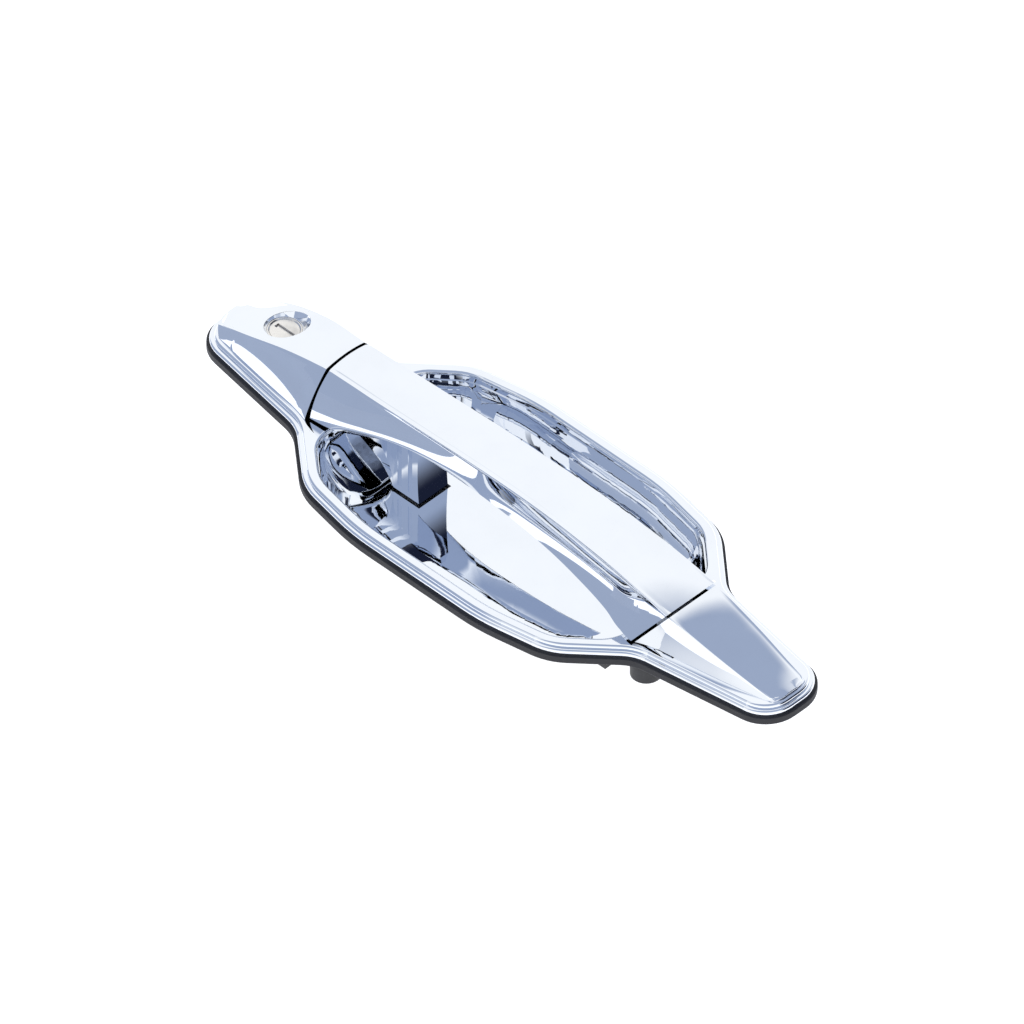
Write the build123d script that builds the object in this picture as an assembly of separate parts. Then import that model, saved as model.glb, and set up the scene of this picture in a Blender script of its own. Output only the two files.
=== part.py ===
"""Chrome pull handle for a car door, with its lock, hinge and bell crank.

Frame: the door skin is the plane Z = 0 and the outside of the car is +Z.
X runs along the handle, from the keyhole end (-X) to the hinge end (+X).
Y runs across it, and the origin is the middle of the plate on the door skin.
"""
from build123d import *
import os
from math import asin, atan2, cos, degrees, hypot, radians, sin

# ---------------------------------------------------------------- overall
PLATE_L = 272.0            # chrome plate, tip to tip
PLATE_W = 94.0             # chrome plate across the bowl
CAP_W = 45.0               # chrome plate at the two necks
TIP_W = 27.6               # width at the tips, before rounding
GASKET_T = 3.0
GASKET_LIP = 1.0           # how far the rubber shows round the chrome
GASKET_INNER = 4.5         # inner edge of the gasket, in from the plate edge
RIM_T = 2.2                # outer rim band of the plate
RIM_W = 1.7
BAND_T = 3.6               # broad band of the plate
CAP_SET = 1.3              # foot of the caps, in from the edge of the band
FLANGE_W = 6.0             # plate edge to bowl opening
WALL = 2.2                 # wall of the chromed mouldings
GAP = 1.3                  # shut lines between grip and caps
FIT = 0.05                 # running clearance on a radius
SLACK = 0.3                # clearance between pieces that pass each other

CAP_EDGE = RIM_W + CAP_SET + 0.1       # flank foot of the caps, in from the plate edge
HOLLOW_EDGE = GASKET_INNER + 0.5       # the same for their hollows

ZC = GASKET_T              # underside of the chrome
Z_BAND = ZC + BAND_T

# ---------------------------------------------------------------- grip line
SPLIT_X = -78.5            # shut line at the keyhole cap
LEAN_X = 76.6              # foot of the leaning shut line at the hinge cap
LEAN = 0.74                # its run in X for each unit of height
# along the handle: x, top height, lip height, half width at lip, half width of the top, flank bulge
GRIP_LINE = (
    (-86.0, 21.3, 4.6, 18.8, 8.6, 0.10),
    (-76.0, 21.6, 4.6, 18.2, 8.7, 0.10),
    (-67.0, 21.9, 5.4, 17.4, 8.8, 0.10),
    (-57.0, 22.2, 8.4, 15.6, 9.0, 0.08),
    (-46.0, 22.6, 11.8, 13.6, 9.1, 0.05),
    (-32.0, 23.1, 13.9, 12.3, 9.2, 0.03),
    (-12.0, 23.8, 13.9, 11.7, 9.3, 0.0),
    (10.0, 24.1, 12.4, 11.6, 9.4, -0.04),
    (30.0, 23.6, 10.0, 12.2, 9.7, -0.08),
    (48.0, 22.3, 7.0, 13.8, 10.1, -0.12),
    (60.0, 21.0, 5.2, 15.8, 10.4, -0.14),
    (69.0, 19.6, 4.6, 18.8, 10.6, -0.15),
    (80.0, 17.6, 4.6, 20.4, 10.7, -0.14),
    (92.0, 15.2, 4.6, 20.8, 10.8, -0.12),
)
# the caps: distance from the split towards the tip, top height, half width of the top
KEY_CAP = ((-12.0, 21.4, 8.6), (0.0, 21.4, 9.0), (18.0, 19.6, 10.4), (36.0, 14.6, 10.6), (50.0, 8.6, 9.0),
           (60.0, 4.2, 7.6))
HINGE_CAP = ((-8.0, 18.0, 10.6), (10.0, 16.0, 10.8), (30.0, 11.4, 9.8), (48.0, 6.8, 8.0), (62.0, 3.8, 6.4))
CROWN = 1.0                # rise of the top face across its width
TOP_INSET = 0.6            # how much of a wall's inset the top's half width takes
# the web down to the leg: height above the chrome's underside, start in x, half width
FAIRING_LEVELS = ((16.0, -72.0, 15.0), (5.0, -65.5, 12.0), (-5.0, -58.0, 8.6), (-16.0, -51.8, 7.0))
KEY_BULGE = 0.06           # flank bulge of the caps, for each unit of height
HINGE_BULGE = -0.08
CAP_FOOT = 1.0             # foot of the caps above the underside of the chrome
HOLLOW_DROP = 4.0          # how far the hollows run past the foot
KEY_HOLLOW_X = -128.0      # ends of the hollows towards the tips
HINGE_HOLLOW_X = 124.0
WINDOW_END = 100.0         # slot under the hinge cap for the hinge arm
RIM_ROUND = 0.9
BAND_ROUND = 1.1
MOUTH_ROUND = 1.4

# ---------------------------------------------------------------- bowl
OPEN_X0 = -69.5
OPEN_X1 = 71.0
OPEN_R = 13.0              # corners of the opening
BOWL_DEPTH = 21.0          # below the band
BOWL_WALL = 1.6
BOWL_SWEEP = 20.0          # how far the bowl's side runs in before the floor
BOWL_LEVELS = (0.0, 0.35, 0.65, 0.85, 0.96, 1.0)
BOWL_BACKSET = 0.4         # bowl edge behind the bezel edge
Z_FLOOR = Z_BAND - BOWL_DEPTH
Z_BOWL_BACK = Z_FLOOR - BOWL_WALL

# ---------------------------------------------------------------- hinge and travel
HINGE_X = 112.0
HINGE_Z = ZC - 3.0
HINGE_PIN_R = 2.5
KNUCKLE_R = 5.0
KNUCKLE_HALF = 5.0
PULL_ANGLE = 7.0           # full pull of the grip, degrees
EAR_T = 3.0
EAR_GAP = 0.4
BUSH_WALL = 1.0
CLIP_T = 0.8
CLIP_R = 3.6
CLIP_GAP = 0.2
GROOVE_DEPTH = 0.5
PIN_TAIL = 1.4             # pin past its clip
PIN_HEAD = 1.2

# ---------------------------------------------------------------- leg and crank
LEG_X0 = -50.0
LEG_X1 = -38.0
LEG_HALF = 7.0
LEG_BOTTOM = -50.0
LEG_PLAY = 0.8             # leg to its slots
FINGER_Z = -44.5           # crank finger in the leg, at rest
LEDGE_GAP = 0.4            # finger to the ledge that lifts it
FINGER_R = 2.5
TONGUE_HALF = 2.5
CRANK_R = 25.0             # finger to crank pivot
CRANK_PIN_R = 2.5
HUB_R = 6.5
HUB_HALF = 6.0
ROD_ARM = 24.0             # pivot to latch rod
ROD_HOLE_R = 2.05          # 4 mm latch rod
WEIGHT_ARM = 14.0
WEIGHT_R = 4.5
CHASSIS_T = 3.0
PAD_TOP = 1.0              # the chassis pads under the caps
LIP_H = 3.0                # stiffening lips under the chassis floor
Z_CHASSIS = Z_BOWL_BACK - 0.4

# ---------------------------------------------------------------- lock
LOCK_X = -108.0
Z_LOCK = ZC + 13.6         # lock face
PLUG_R = 5.2
FACE_RING_R = 6.3
HOUSING_R = 8.2
SCOOP_R = 8.4              # dished recess round the lock face
SCOOP_H = 6.0
KEY_SLOT = (8.0, 2.0)
KEY_DEPTH = 24.0
RING_DEPTH = 4.0
SEAL_T = 0.8
FACE_SET = 0.4             # plug face below its ring
LOCK_BACK = -12.0          # rear end of the housing
WAFER_COUNT = 5
WAFER_PITCH = 3.2
WAFER_T = 0.8
WAFER_SIZE = (9.2, 4.8)
TAIL_SQUARE = 5.0
LEVER_T = 2.0
LEVER_REACH = 16.0
LEVER_ANGLE = 90.0         # at rest it points across the handle, clear of the mounting screw
FLAP_T = 0.5
RETAINER_T = 1.5
RETAINER_HALF = (10.5, 9.5)
NECK_DEPTH = 1.0           # groove for the retainer
COLLAR_T = 2.0             # shoulder at the housing's rear
TAIL_GAP = 0.6             # plug past the housing's rear
WIRE_R = 0.6               # both coil springs
BUMP_T = 0.7
BACK_PLAY = 0.4

# ---------------------------------------------------------------- fasteners
MOUNT_POINTS = ((-88.0, 0.0), (79.0, -15.5))
MOUNT_BOSS_R = 5.6
MOUNT_BOSS_END = -9.0
INSERT_R = 4.0
M6_TAP_R = 2.5
SCREW_R = 1.5
SCREW_HEAD_R = 2.9
SCREW_HEAD_H = 1.8
SCREW_BOSS_R = 3.0
SCREW_DEPTH = 6.0          # thread into the towers, above the door skin
CHASSIS_SCREWS = ((-124.0, 0.0), (-87.0, 11.6), (-87.0, -11.6), (90.0, 9.2), (90.0, -9.2), (126.5, 0.0))
BOWL_SCREWS = ((42.0, 7.0), (42.0, -7.0))
LEG_SCREWS = ((-64.0, 5.0), (-64.0, -5.0))
ARM_SCREWS = ((62.0, 5.0), (62.0, -5.0))
ARM_PLATE_L = 14.0         # plate of the hinge arm under the grip
ARM_PLATE_HALF = 8.4
ARM_PLATE_T = 3.4
SCREW_DRIVE = (3.0, 0.8, 1.6)
INSERT_TOP = -1.0          # brass insert below the door skin
BUMP_PLACE = (OPEN_X0 - 4.0, 12.0)
BUMP_R = 2.2


# ================================================================ helpers
def cylinder(x, y, z0, z1, radius):
    """A round bar along Z from z0 to z1."""
    return Pos(x, y, (z0 + z1) / 2) * Cylinder(radius, z1 - z0)


def cross_bar(x, z, y0, y1, radius):
    """A round bar along Y from y0 to y1."""
    return Pos(x, (y0 + y1) / 2, z) * Rot(90, 0, 0) * Cylinder(radius, y1 - y0)


def block(x0, x1, y0, y1, z0, z1):
    return Pos((x0 + x1) / 2, (y0 + y1) / 2, (z0 + z1) / 2) * Box(x1 - x0, y1 - y0, z1 - z0)


def side_slab(points, half, y_mid=0.0):
    """A closed XZ outline made into a slab of thickness 2*half about y_mid."""
    outline = Polyline(*[(x, z) for x, z in points], close=True)
    face = Plane.XZ.offset(-y_mid) * make_face(outline)
    return extrude(face, amount=half, both=True)


def turned(shape, x, z, angle):
    """The shape turned about the Y-parallel axis through (x, z), positive by the right-hand rule."""
    return Pos(x, 0, z) * Rot(0, angle, 0) * Pos(-x, 0, -z) * shape


def at_table(table, x, column):
    """Straight-line value of one column of a table whose first column is x."""
    for low, high in zip(table, table[1:]):
        if x <= high[0]:
            t = max(0.0, (x - low[0]) / (high[0] - low[0]))
            return low[column] + t * (high[column] - low[column])
    return table[-1][column]


def one(shape):
    """The single solid of a boolean result."""
    solids = shape.solids()
    return max(solids, key=lambda s: s.volume)


# ================================================================ plan outlines
def corner_points():
    """Corners of the plate on the +Y side, each with its rounding radius."""
    tip = PLATE_L / 2
    mid = PLATE_W / 2
    neck = CAP_W / 2
    return (
        (-tip, TIP_W / 2, TIP_W * 0.47),
        (OPEN_X0 - 11.0, neck, 18.0),
        (OPEN_X0 + 11.5, mid * 0.89, 24.0),
        (OPEN_X0 + 39.5, mid, 90.0),
        (OPEN_X1 - 41.0, mid, 90.0),
        (OPEN_X1 - 13.0, mid * 0.89, 24.0),
        (OPEN_X1 + 9.0, neck, 15.0),
        (tip, TIP_W / 2, TIP_W * 0.47),
    )


def plate_outline(inset=0.0):
    """The plate's plan, moved in from its edge by inset."""
    upper = corner_points()
    ring = [(x, y) for x, y, r in upper] + [(x, -y) for x, y, r in reversed(upper)]
    plan = make_face(Polyline(*ring, close=True))
    for x, y, radius in upper:
        ends = plan.vertices().filter_by(lambda v: abs(v.X - x) < 0.01 and abs(abs(v.Y) - y) < 0.01)
        plan = fillet(ends, radius)
    if inset:
        plan = offset(plan, amount=-inset, kind=Kind.ARC)
    return plan


def bowl_outline(extra=0.0, corner=OPEN_R):
    """The bowl opening, moved in by extra."""
    x0 = OPEN_X0 + extra
    x1 = OPEN_X1 - extra
    window = Pos((x0 + x1) / 2, 0) * Rectangle(x1 - x0, PLATE_W)
    plan = plate_outline(FLANGE_W + extra) & window
    ends = plan.vertices().filter_by(lambda v: abs(v.X - x0) < 0.01 or abs(v.X - x1) < 0.01)
    return fillet(ends, corner)


def half_width(x):
    """Half the plate's width at x, before rounding."""
    return at_table(corner_points(), x, 1)


# ================================================================ grip and cap sections
def section(x, top, foot, foot_half, top_half, bulge):
    """A closed section across the handle at x: crowned top, curved flanks, flat foot."""
    edge = top - CROWN
    mid_y = (foot_half + top_half) / 2 + bulge * (edge - foot)
    mid_z = (edge + foot) / 2 + 0.4 * bulge * (edge - foot)
    across = ThreePointArc((-top_half, edge), (0, top), (top_half, edge))
    right = Spline((top_half, edge), (mid_y, mid_z), (foot_half, foot))
    base = Line((foot_half, foot), (-foot_half, foot))
    left = Spline((-foot_half, foot), (-mid_y, mid_z), (-top_half, edge))
    return Plane.YZ.offset(x) * make_face([across, right, base, left])


def grip_body(inset=0.0, drop=0.0):
    """The grip between its tables' ends; inset shrinks it, drop moves its foot down."""
    rows = []
    for x, top, lip, lip_half, top_half, bulge in GRIP_LINE:
        z1, z0 = ZC + top - inset, ZC + lip - drop
        rows.append(section(x, z1, z0, lip_half - inset, top_half - TOP_INSET * inset, bulge))
    return loft(rows)


def key_cap_body(inset=0.0, drop=0.0):
    rows = []
    for run, top, top_half in KEY_CAP:
        x = SPLIT_X - run
        foot_half = half_width(x) - (HOLLOW_EDGE if inset else CAP_EDGE)
        z1, z0 = ZC + top - inset, ZC + CAP_FOOT - drop
        rows.append(section(x, z1, z0, foot_half, top_half - TOP_INSET * inset, KEY_BULGE))
    return loft(rows)


def hinge_cap_body(inset=0.0, drop=0.0):
    rows = []
    for run, top, top_half in HINGE_CAP:
        x = LEAN_X + run
        foot_half = half_width(x) - (HOLLOW_EDGE if inset else CAP_EDGE)
        z1, z0 = ZC + top - inset, ZC + CAP_FOOT - drop
        rows.append(section(x, z1, z0, foot_half, top_half - TOP_INSET * inset, HINGE_BULGE))
    return loft(rows)


def beyond_key_split(clear):
    """Everything on the tip side of the keyhole shut line."""
    return block(-PLATE_L, SPLIT_X - clear, -PLATE_W, PLATE_W, -PLATE_W, PLATE_W)


def beyond_lean(clear):
    """Everything on the tip side of the leaning shut line."""
    reach = PLATE_W
    x0 = LEAN_X + clear
    points = ((x0 - LEAN * reach, -reach), (PLATE_L, -reach), (PLATE_L, reach), (x0 + LEAN * reach, reach))
    return Pos(0, 0, Z_BAND) * side_slab(points, PLATE_W)


# ================================================================ chrome plate with its caps
def screw_tower(x, y, skin):
    """A screw boss under a cap, from the chassis pad up into the cap's skin."""
    foot = cylinder(x, y, PAD_TOP, ZC + 1.5, SCREW_BOSS_R)
    return foot + (cylinder(x, y, ZC + 1.0, ZC + 18.0, SCREW_BOSS_R) & skin)


def build_bezel():
    rim = extrude(Pos(0, 0, ZC) * plate_outline(), amount=RIM_T)
    rim = fillet(rim.faces().sort_by(Axis.Z)[-1].edges(), RIM_ROUND)
    band = extrude(Pos(0, 0, ZC) * plate_outline(RIM_W), amount=BAND_T)
    band = fillet(band.faces().sort_by(Axis.Z)[-1].edges(), BAND_ROUND)
    plate = rim + band
    opening = extrude(Pos(0, 0, ZC - 1) * bowl_outline(), amount=BAND_T + 2)
    plate = plate - opening
    mouth = plate.edges().filter_by(lambda e: abs(e.center().Z - Z_BAND) < 0.01)
    inner = mouth.filter_by(lambda e: OPEN_X0 - 1 < e.center().X < OPEN_X1 + 1)
    inner = inner.filter_by(lambda e: abs(e.center().Y) < half_width(e.center().X) - FLANGE_W + 1.2)
    plate = fillet(inner, MOUTH_ROUND)
    within = extrude(Pos(0, 0, ZC) * plate_outline(RIM_W + CAP_SET), amount=40)
    key_outer = key_cap_body() & within & beyond_key_split(GAP / 2)
    hinge_outer = hinge_cap_body() & within & beyond_lean(GAP / 2)
    key_hollow = key_cap_body(WALL, HOLLOW_DROP) & beyond_key_split(GAP / 2 + WALL)
    key_hollow = key_hollow & block(KEY_HOLLOW_X, 0, -PLATE_W, PLATE_W, -PLATE_W, PLATE_W)
    hinge_hollow = hinge_cap_body(WALL, HOLLOW_DROP) & beyond_lean(GAP / 2 + WALL)
    hinge_hollow = hinge_hollow & block(0, HINGE_HOLLOW_X, -PLATE_W, PLATE_W, -PLATE_W, PLATE_W)
    window_half = KNUCKLE_HALF + 1.0
    window = block(OPEN_X1 + 6.0, WINDOW_END, -window_half, window_half, Z_BAND + 0.4, PLATE_W)
    window = hinge_cap_body(WALL, HOLLOW_DROP) & window
    body = plate + key_outer + hinge_outer - key_hollow - hinge_hollow - window
    for x, y in CHASSIS_SCREWS:
        body = body + screw_tower(x, y, key_outer if x < 0 else hinge_outer)
        body = body - cylinder(x, y, PAD_TOP - 1, SCREW_DEPTH, SCREW_R)
    z_seat = Z_LOCK - RING_DEPTH
    collar = cylinder(LOCK_X, 0, z_seat, Z_LOCK + SCOOP_H, HOUSING_R + 1.6) & key_outer
    scoop = Pos(LOCK_X, 0, Z_LOCK + SCOOP_H / 2) * Cone(FACE_RING_R + 0.1, SCOOP_R + 1.2, SCOOP_H)
    body = body + collar - scoop
    body = body - cylinder(LOCK_X, 0, z_seat - 1, Z_LOCK + 1, FACE_RING_R)
    body = body - cylinder(LOCK_X, 0, PAD_TOP, z_seat, HOUSING_R + SLACK)
    return one(body)


def build_gasket():
    outer = extrude(plate_outline(-GASKET_LIP), amount=GASKET_T)
    outer = fillet(outer.edges().filter_by(Plane.XY).group_by(Axis.Z)[0], 0.8)
    body = outer - extrude(Pos(0, 0, -1) * plate_outline(GASKET_INNER), amount=GASKET_T + 2)
    for x, y in MOUNT_POINTS:
        body = body - cylinder(x, y, -1, GASKET_T + 1, MOUNT_BOSS_R + SLACK)
    return one(body)


# ================================================================ bowl
def cup(extra, z_bottom):
    """A dish whose side sweeps in along a quarter ellipse to a flat floor."""
    rim = bowl_outline(extra)
    half_l = (OPEN_X1 - OPEN_X0) / 2 - extra
    half_w = PLATE_W / 2 - FLANGE_W - extra
    x_mid = (OPEN_X0 + OPEN_X1) / 2
    levels = []
    for u in BOWL_LEVELS:
        inset = BOWL_SWEEP * (1.0 - (1.0 - u * u) ** 0.5)
        drawn_in = scale(Pos(-x_mid, 0) * rim, by=(1.0 - inset / half_l, 1.0 - inset / half_w, 1.0))
        levels.append(Pos(x_mid, 0, ZC + u * (z_bottom - ZC)) * drawn_in)
    return loft(levels)


def build_bowl():
    outer = cup(BOWL_BACKSET - BOWL_WALL, Z_BOWL_BACK)
    inner = cup(BOWL_BACKSET, Z_FLOOR)
    body = outer - inner - leg_slot()
    for x, y in BOWL_SCREWS:
        body = body - cylinder(x, y, Z_BOWL_BACK - 1, Z_BOWL_BACK + 1.0, SCREW_R)
    return one(body)


# ================================================================ grip
def leg_shape(half, x0, x1, top, bottom):
    """The leg, curved about the grip hinge so that it slides straight through its slot."""
    ring = cross_bar(HINGE_X, HINGE_Z, -half, half, HINGE_X - x0)
    ring = ring - cross_bar(HINGE_X, HINGE_Z, -half - 1, half + 1, HINGE_X - x1)
    return ring & block(x0 - 20, x1 + 40, -half, half, bottom, top)


def leg_slot():
    return leg_shape(LEG_HALF + LEG_PLAY, LEG_X0 - LEG_PLAY, LEG_X1 + LEG_PLAY, Z_FLOOR + 5, Z_CHASSIS - 8)


def grip_zone():
    """The space between the two shut lines."""
    zone = block(-PLATE_L, PLATE_L, -PLATE_W, PLATE_W, -PLATE_W, PLATE_W)
    return zone - beyond_key_split(-GAP / 2) - beyond_lean(-GAP / 2)


def grip_skin():
    return one(grip_body() & grip_zone())


def slab_top(x):
    """Height of the inside of the grip's back at x."""
    return ZC + at_table(GRIP_LINE, x, 2) + WALL


def roof(x):
    """Height of the inside of the grip's top at x, near its edges."""
    return ZC + at_table(GRIP_LINE, x, 1) - WALL - CROWN


def build_grip_shell():
    inner = block(SPLIT_X + GAP / 2 + WALL, PLATE_L, -PLATE_W, PLATE_W, -PLATE_W, PLATE_W)
    hollow = grip_body(WALL, 3.0) & inner
    hollow = hollow - beyond_lean(-GAP / 2 - 1.3 * WALL)
    body = grip_skin() - hollow
    mouth = KNUCKLE_HALF + 0.5
    body = body - block(MOUTH_X, LEAN_X + 8, -mouth, mouth, 0, ARM_BAR_TOP - 1.0)
    for x, y in LEG_SCREWS + ARM_SCREWS:
        seat = LEG_BAR_Z[1] if x < 0 else ARM_BAR_TOP
        body = body + cylinder(x, y, seat, roof(x) + CROWN, SCREW_BOSS_R)
        body = body - cylinder(x, y, seat - 1, roof(x) + CROWN, SCREW_R)
    return one(body)


def slab_section(x, lip, lip_half, top, top_half, bulge):
    """Section of the grip's back: a strip that lies inside the shell's flanks."""
    foot = ZC + lip
    rise = WALL / (top - CROWN - lip)
    low_half = lip_half - WALL
    swell = 4 * bulge * rise * (top - lip) * min(1.0, 1.0 - rise)
    high_half = min(low_half, low_half + rise * (top_half - low_half) + swell) - BACK_PLAY
    roof_z = foot + WALL
    corners = ((-low_half, foot), (low_half, foot), (high_half, roof_z), (-high_half, roof_z))
    strip = Polyline(*corners, close=True)
    return Plane.YZ.offset(x) * make_face(strip)


def build_grip_back():
    rows = []
    for x, top, lip, lip_half, top_half, bulge in GRIP_LINE:
        rows.append(slab_section(x, lip, lip_half, top, top_half, bulge))
    slab = loft(rows) & block(SPLIT_X + GAP / 2 + WALL, BACK_END_X, -PLATE_W, PLATE_W, -PLATE_W, PLATE_W)
    body = slab + build_fairing() - leg_shape(LEG_HALF, LEG_X0, LEG_X1, 60, -60)
    return one(body - build_grip_shell())


def build_fairing():
    """The web that sweeps from the grip's end down to the leg."""
    rows = []
    for rise, x0, half in FAIRING_LEVELS:
        z = ZC + rise
        x1 = LEG_X0 + 6.0
        plan = Pos((x0 + x1) / 2, 0) * Rectangle(x1 - x0, 2 * half)
        rows.append(Pos(0, 0, z) * fillet(plan.vertices(), 2.0))
    web = loft(rows) - grip_body()
    far = cross_bar(HINGE_X, HINGE_Z, -40, 40, HINGE_X - LEG_X0)
    return web - far


def build_leg_arm():
    z0, z1 = LEG_BAR_Z
    leg = leg_shape(LEG_HALF, LEG_X0, LEG_X1, z1, LEG_BOTTOM)
    body = leg + block(LEG_BAR_X0, LEG_X1, -LEG_HALF, LEG_HALF, z0, z1)
    for side in (-1, 1):
        for x in (LEG_X0 + 3.5, LEG_X1 - 3.5):
            y = side * LEG_HALF
            body = body - block(x - 1.0, x + 1.0, y - 1.2, y + 1.2, ZC - 14.0, ZC + 9.0)
    tongue = TONGUE_HALF + SLACK
    ledge = FINGER_Z - FINGER_R - LEDGE_GAP
    x0 = FINGER_X - FINGER_R - 1.0
    body = body - block(x0, LEG_X1 + 30, -tongue, tongue, ledge, FINGER_Z + 13.0)
    for x, y in LEG_SCREWS:
        body = body - cylinder(x, y, z0 - 1, z1 + 1, SCREW_R)
    return one(body)


def build_hinge_arm():
    top = ARM_BAR_TOP
    x0 = ARM_SCREWS[0][0] - 7.0
    upper = ((x0, top), (LEAN_X - 4.6, top), (LEAN_X + 7.4, ZC + 8.6), (HINGE_X - 14, ZC + 4.0))
    upper = upper + ((HINGE_X, ZC + 3.0),)
    lower = ((HINGE_X - 2, HINGE_Z - 4.4), (LEAN_X + 5.4, ZC + 5.0), (LEAN_X - 4.6, ZC + 8.0), (x0, ZC + 9.0))
    body = side_slab(upper + lower, KNUCKLE_HALF)
    body = body + cross_bar(HINGE_X, HINGE_Z, -KNUCKLE_HALF, KNUCKLE_HALF, KNUCKLE_R)
    body = body - cross_bar(HINGE_X, HINGE_Z, -20, 20, HINGE_PIN_R + FIT + BUSH_WALL)
    body = body + block(x0, x0 + ARM_PLATE_L, -ARM_PLATE_HALF, ARM_PLATE_HALF, top - ARM_PLATE_T, top)
    for x, y in ARM_SCREWS:
        body = body - cylinder(x, y, ZC, top + 1, SCREW_R)
        body = body - cylinder(x, y, ZC, top - ARM_PLATE_T, SCREW_HEAD_R + 0.2)
    return one(body)


def build_hinge_bushes():
    """Two plain bushes pressed into the knuckle, one from each side."""
    outer = HINGE_PIN_R + FIT + BUSH_WALL
    bushes = []
    for side in (-1, 1):
        y0, y1 = sorted((side * 0.5, side * KNUCKLE_HALF))
        bush = cross_bar(HINGE_X, HINGE_Z, y0, y1, outer)
        bushes.append(bush - cross_bar(HINGE_X, HINGE_Z, y0 - 1, y1 + 1, HINGE_PIN_R + FIT))
    return Compound(children=[one(b) for b in bushes])


def screw(x, y, z_head, z_tip, z_under):
    """A pan-head screw pointing up, its head between z_head and z_under."""
    head = cylinder(x, y, z_head, z_under, SCREW_HEAD_R)
    body = head + cylinder(x, y, z_under, z_tip, SCREW_R)
    length, width, depth = SCREW_DRIVE
    drive = Pos(x, y, z_head) * (Box(length, width, depth) + Box(width, length, depth))
    return one(body - drive)


def build_grip_screws():
    screws = []
    for x, y in LEG_SCREWS:
        under = LEG_BAR_Z[0]
        screws.append(screw(x, y, under - SCREW_HEAD_H, roof(x) + CROWN, under))
    for x, y in ARM_SCREWS:
        under = ARM_BAR_TOP - ARM_PLATE_T
        screws.append(screw(x, y, under - SCREW_HEAD_H, roof(x) + CROWN, under))
    return Compound(children=screws)


def pin_and_clip(x, z, half):
    """A headed pin along Y and the clip in its groove."""
    radius = HINGE_PIN_R
    y0 = half + CLIP_GAP
    y1 = y0 + CLIP_T
    core = cross_bar(x, z, 0, PLATE_W, radius - GROOVE_DEPTH)
    pin = cross_bar(x, z, -half, y1 + PIN_TAIL, radius)
    pin = pin + cross_bar(x, z, -half - PIN_HEAD, -half, radius + PIN_HEAD)
    groove = cross_bar(x, z, y0, y1, radius + 1) - core
    clip = cross_bar(x, z, y0, y1, CLIP_R) - core
    return one(pin - groove), one(clip)


# ================================================================ chassis
def build_chassis():
    under = extrude(Pos(0, 0, -60) * plate_outline(GASKET_INNER + 0.8), amount=100)
    z0 = Z_CHASSIS - CHASSIS_T
    pad_z = PAD_TOP - CHASSIS_T
    key_pad = block(-PLATE_L, CHASSIS_X0, -40, 40, pad_z, PAD_TOP)
    hinge_pad = block(CHASSIS_X1, PLATE_L, -40, 40, pad_z, PAD_TOP)
    back_x = CHASSIS_X0 - CHASSIS_T
    lower = ((back_x, PAD_TOP), (back_x, z0), (FLOOR_X1, z0), (CHASSIS_X1, pad_z), (CHASSIS_X1, PAD_TOP))
    upper = ((FLOOR_X1 + 2.0, Z_CHASSIS), (CHASSIS_X0, Z_CHASSIS), (CHASSIS_X0, PAD_TOP))
    body = (key_pad + hinge_pad & under) + side_slab(lower + upper, CHASSIS_HALF)
    for side in (-1, 1):
        y0, y1 = sorted((side * (CHASSIS_HALF - CHASSIS_T), side * CHASSIS_HALF))
        body = body + block(CHASSIS_X0, FLOOR_X1, y0, y1, z0 - LIP_H, z0)
    ear_in = KNUCKLE_HALF + EAR_GAP
    body = body - block(HINGE_X - 17, HINGE_X + 7.5, -ear_in, ear_in, pad_z - 1, PAD_TOP + 1)
    for side in (-1, 1):
        y0, y1 = sorted((side * (ear_in + EAR_T), side * 30.0))
        body = body - cross_bar(HINGE_X, HINGE_Z, y0, y1, CLIP_R + 1.0)
        y0, y1 = sorted((side * ear_in, side * (ear_in + EAR_T)))
        body = body + block(HINGE_X - 6, HINGE_X + 6, y0, y1, HINGE_Z - 6.0, HINGE_Z + 4.0)
        y0, y1 = sorted((side * CRANK_EAR_IN, side * (CRANK_EAR_IN + EAR_T)))
        body = body + block(CRANK_X - 7, CRANK_X + 7, y0, y1, CRANK_Z - 6.0, z0 + 1)
    body = body - cross_bar(HINGE_X, HINGE_Z, -40, 40, HINGE_PIN_R)
    body = body - cross_bar(CRANK_X, CRANK_Z, -40, 40, CRANK_PIN_R)
    for x, y in MOUNT_POINTS:
        body = body + cylinder(x, y, MOUNT_BOSS_END, ZC, MOUNT_BOSS_R)
        body = body - cylinder(x, y, MOUNT_BOSS_END - 1, INSERT_TOP, INSERT_R)
        body = body - cylinder(x, y, INSERT_TOP - 1, ZC + 1, M6_TAP_R)
    body = body - cylinder(LOCK_X, 0, -20, 20, HOUSING_R)
    for x, y in CHASSIS_SCREWS:
        body = body - cylinder(x, y, -20, 20, SCREW_R)
    for x, y in BOWL_SCREWS:
        body = body - cylinder(x, y, z0 - 1, Z_CHASSIS + 1, SCREW_R)
    body = body - leg_slot()
    return one(body)


def build_chassis_screws():
    pad_z = PAD_TOP - CHASSIS_T
    screws = [screw(x, y, pad_z - SCREW_HEAD_H, SCREW_DEPTH - 0.4, pad_z) for x, y in CHASSIS_SCREWS]
    return Compound(children=screws)


def build_bowl_screws():
    z0 = Z_CHASSIS - CHASSIS_T
    screws = [screw(x, y, z0 - SCREW_HEAD_H, Z_BOWL_BACK + 0.9, z0) for x, y in BOWL_SCREWS]
    return Compound(children=screws)


def build_inserts():
    rings = []
    for x, y in MOUNT_POINTS:
        ring = cylinder(x, y, MOUNT_BOSS_END, INSERT_TOP, INSERT_R) - cylinder(x, y, -20, 5, M6_TAP_R)
        rings.append(one(ring))
    return Compound(children=rings)


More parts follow.
